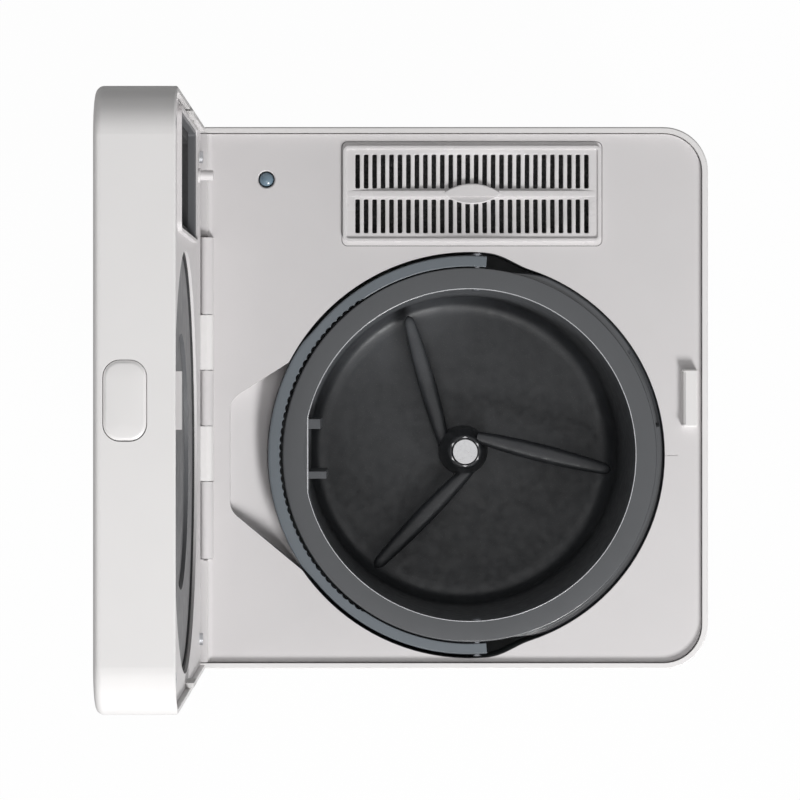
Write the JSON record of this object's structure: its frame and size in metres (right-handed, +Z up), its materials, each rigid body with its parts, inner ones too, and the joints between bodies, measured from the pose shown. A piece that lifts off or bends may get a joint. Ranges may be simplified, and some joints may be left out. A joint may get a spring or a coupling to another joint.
{
  "type": "food waste composter",
  "caption": "Electric food waste composter with a hinged lid, lift-out stirred bin, bail handle and lift-out carbon filter beside the bin.",
  "frame": {"origin": "on the floor under the middle of the object as it rests with its lid open", "axes": "+X to the user's right, -Y towards the user, +Z up; the open lid stands along +Z at the back"},
  "size_m": [0.3034, 0.3222, 0.5816],
  "materials": {
    "casing_white": "satin moulded plastic",
    "deck_grey": "fine satin plastic",
    "lid_inner": "fine satin plastic",
    "liner_dark": "matt",
    "rim_dark": "satin",
    "bail_grey": "satin",
    "bucket_coat": "dark non-stick coating",
    "cast_metal": "cast, bead blasted",
    "pot_metal": "spun",
    "steel": "turned",
    "screw_steel": "zinc plated",
    "bronze": "sintered",
    "gear_nylon": "moulded",
    "black_plastic": "moulded",
    "black_rubber": "matt",
    "pale_rubber": "matt",
    "cover_dark": "satin",
    "grille_light": "satin",
    "filter_case": "matt",
    "carbon": "granules in a fleece",
    "plunger_blue": "satin",
    "board": "solder mask",
    "lens": "frosted"
  },
  "bodies": {
    "root": {"body_shell": "casing_white", "base_plate": "casing_white", "rear_cover": "casing_white", "rubber_feet": "black_rubber", "case_screws": "screw_steel", "deck_plate": "deck_grey", "well_liner": "liner_dark", "filter_bay": "deck_grey", "latch_strike": "deck_grey", "plunger_guide": "black_plastic", "lid_switch": "black_plastic", "heating_pot": "pot_metal", "heater_band": "steel", "temperature_sensor": "steel", "gearbox_case": "cast_metal", "gearbox_cover": "cast_metal", "pot_bearing": "bronze", "drive_motor": "steel", "fan_housing": "black_plastic", "exhaust_duct": "black_plastic", "circuit_boards": "board", "power_inlet": "black_plastic", "inlet_pins": "steel", "indicator_lens": "lens", "hinge_pin": "steel", "plunger_spring": "steel"},
    "lid": {"lid_shell": "casing_white", "lid_liner": "lid_inner", "lid_bin_cover": "cover_dark", "lid_bin_seal": "black_rubber", "lid_filter_plate": "cover_dark", "lid_filter_gasket": "black_rubber", "lid_buffers": "pale_rubber", "lid_peg": "lid_inner", "lid_screws": "screw_steel", "latch_frame": "lid_inner", "latch_spring": "steel"},
    "release_latch": {"release_button": "casing_white", "latch_hook": "lid_inner"},
    "plunger": {"switch_plunger": "plunger_blue"},
    "bin": {"bin_bucket": "bucket_coat", "bin_rim": "rim_dark", "shear_plate": "bucket_coat", "bin_bush": "bronze", "shaft_seal": "black_rubber", "bail_pins": "steel"},
    "bail": {"bail_handle": "bail_grey"},
    "stirrer": {"stirrer": "cast_metal", "stirrer_shaft": "steel", "driven_dog": "steel"},
    "drive": {"drive_shaft": "steel", "output_gear": "gear_nylon"},
    "idler": {"idler_gear": "gear_nylon"},
    "pinion": {"motor_pinion": "steel"},
    "filter": {"filter_grille": "grille_light", "filter_case": "filter_case", "carbon_pack": "carbon", "filter_seal": "black_rubber"},
    "fan": {"fan_rotor": "black_plastic"},
    "start": {"start_button": "casing_white"}
  },
  "joints": [
    {"name": "lid_hinge", "type": "hinge", "parent": "root", "child": "lid", "pos_m": [0, 0.1205, 0.3], "axis": [-1, 0, 0], "range_deg": [-90, 0]},
    {"name": "latch_press", "type": "slide", "parent": "lid", "child": "release_latch", "axis": [0, 0, -1], "range_m": [0, 0.0035], "stiffness_N_per_m": 600, "springref_m": -0.002, "deforming": ["latch_spring"]},
    {"name": "plunger_press", "type": "slide", "parent": "root", "child": "plunger", "axis": [0, 0, 1], "range_m": [-0.0035, 0], "deforming": ["plunger_spring"]},
    {"name": "bin_lift", "type": "slide", "parent": "root", "child": "bin", "axis": [0, 0, 1], "range_m": [0, 0.2]},
    {"name": "bail_pivot", "type": "hinge", "parent": "bin", "child": "bail", "pos_m": [-0.032, -0.0313, 0.2925], "axis": [1, 0, 0], "range_deg": [0, 90]},
    {"name": "stirrer_spin", "type": "hinge", "parent": "bin", "child": "stirrer", "pos_m": [-0.032, -0.0271, 0.15], "axis": [0, 0, 1], "continuous": true},
    {"name": "drive_spin", "type": "hinge", "parent": "root", "child": "drive", "pos_m": [-0.032, -0.0271, 0.1], "axis": [0, 0, 1], "continuous": true},
    {"name": "idler_spin", "type": "hinge", "parent": "root", "child": "idler", "pos_m": [-0.00275, 0.02356, 0.1], "axis": [0, 0, 1], "continuous": true},
    {"name": "pinion_spin", "type": "hinge", "parent": "root", "child": "pinion", "pos_m": [0.04225, 0.02356, 0.09], "axis": [0, 0, 1], "continuous": true},
    {"name": "filter_lift", "type": "slide", "parent": "root", "child": "filter", "axis": [0, 0, 1], "range_m": [0, 0.08]},
    {"name": "fan_spin", "type": "hinge", "parent": "root", "child": "fan", "pos_m": [0.1145, -0.02835, 0.23], "axis": [0, 0, 1], "continuous": true},
    {"name": "start_press", "type": "slide", "parent": "root", "child": "start", "axis": [0, 1, 0], "range_m": [0, 0.002], "stiffness_N_per_m": 500, "springref_m": -0.001}
  ],
  "couplings": [
    {"joint": "plunger_press", "follows": "lid_hinge", "m_per_rad": 0.002228},
    {"joint": "drive_spin", "follows": "stirrer_spin", "ratio": 1},
    {"joint": "idler_spin", "follows": "stirrer_spin", "ratio": -3.3333},
    {"joint": "pinion_spin", "follows": "stirrer_spin", "ratio": 10}
  ]
}
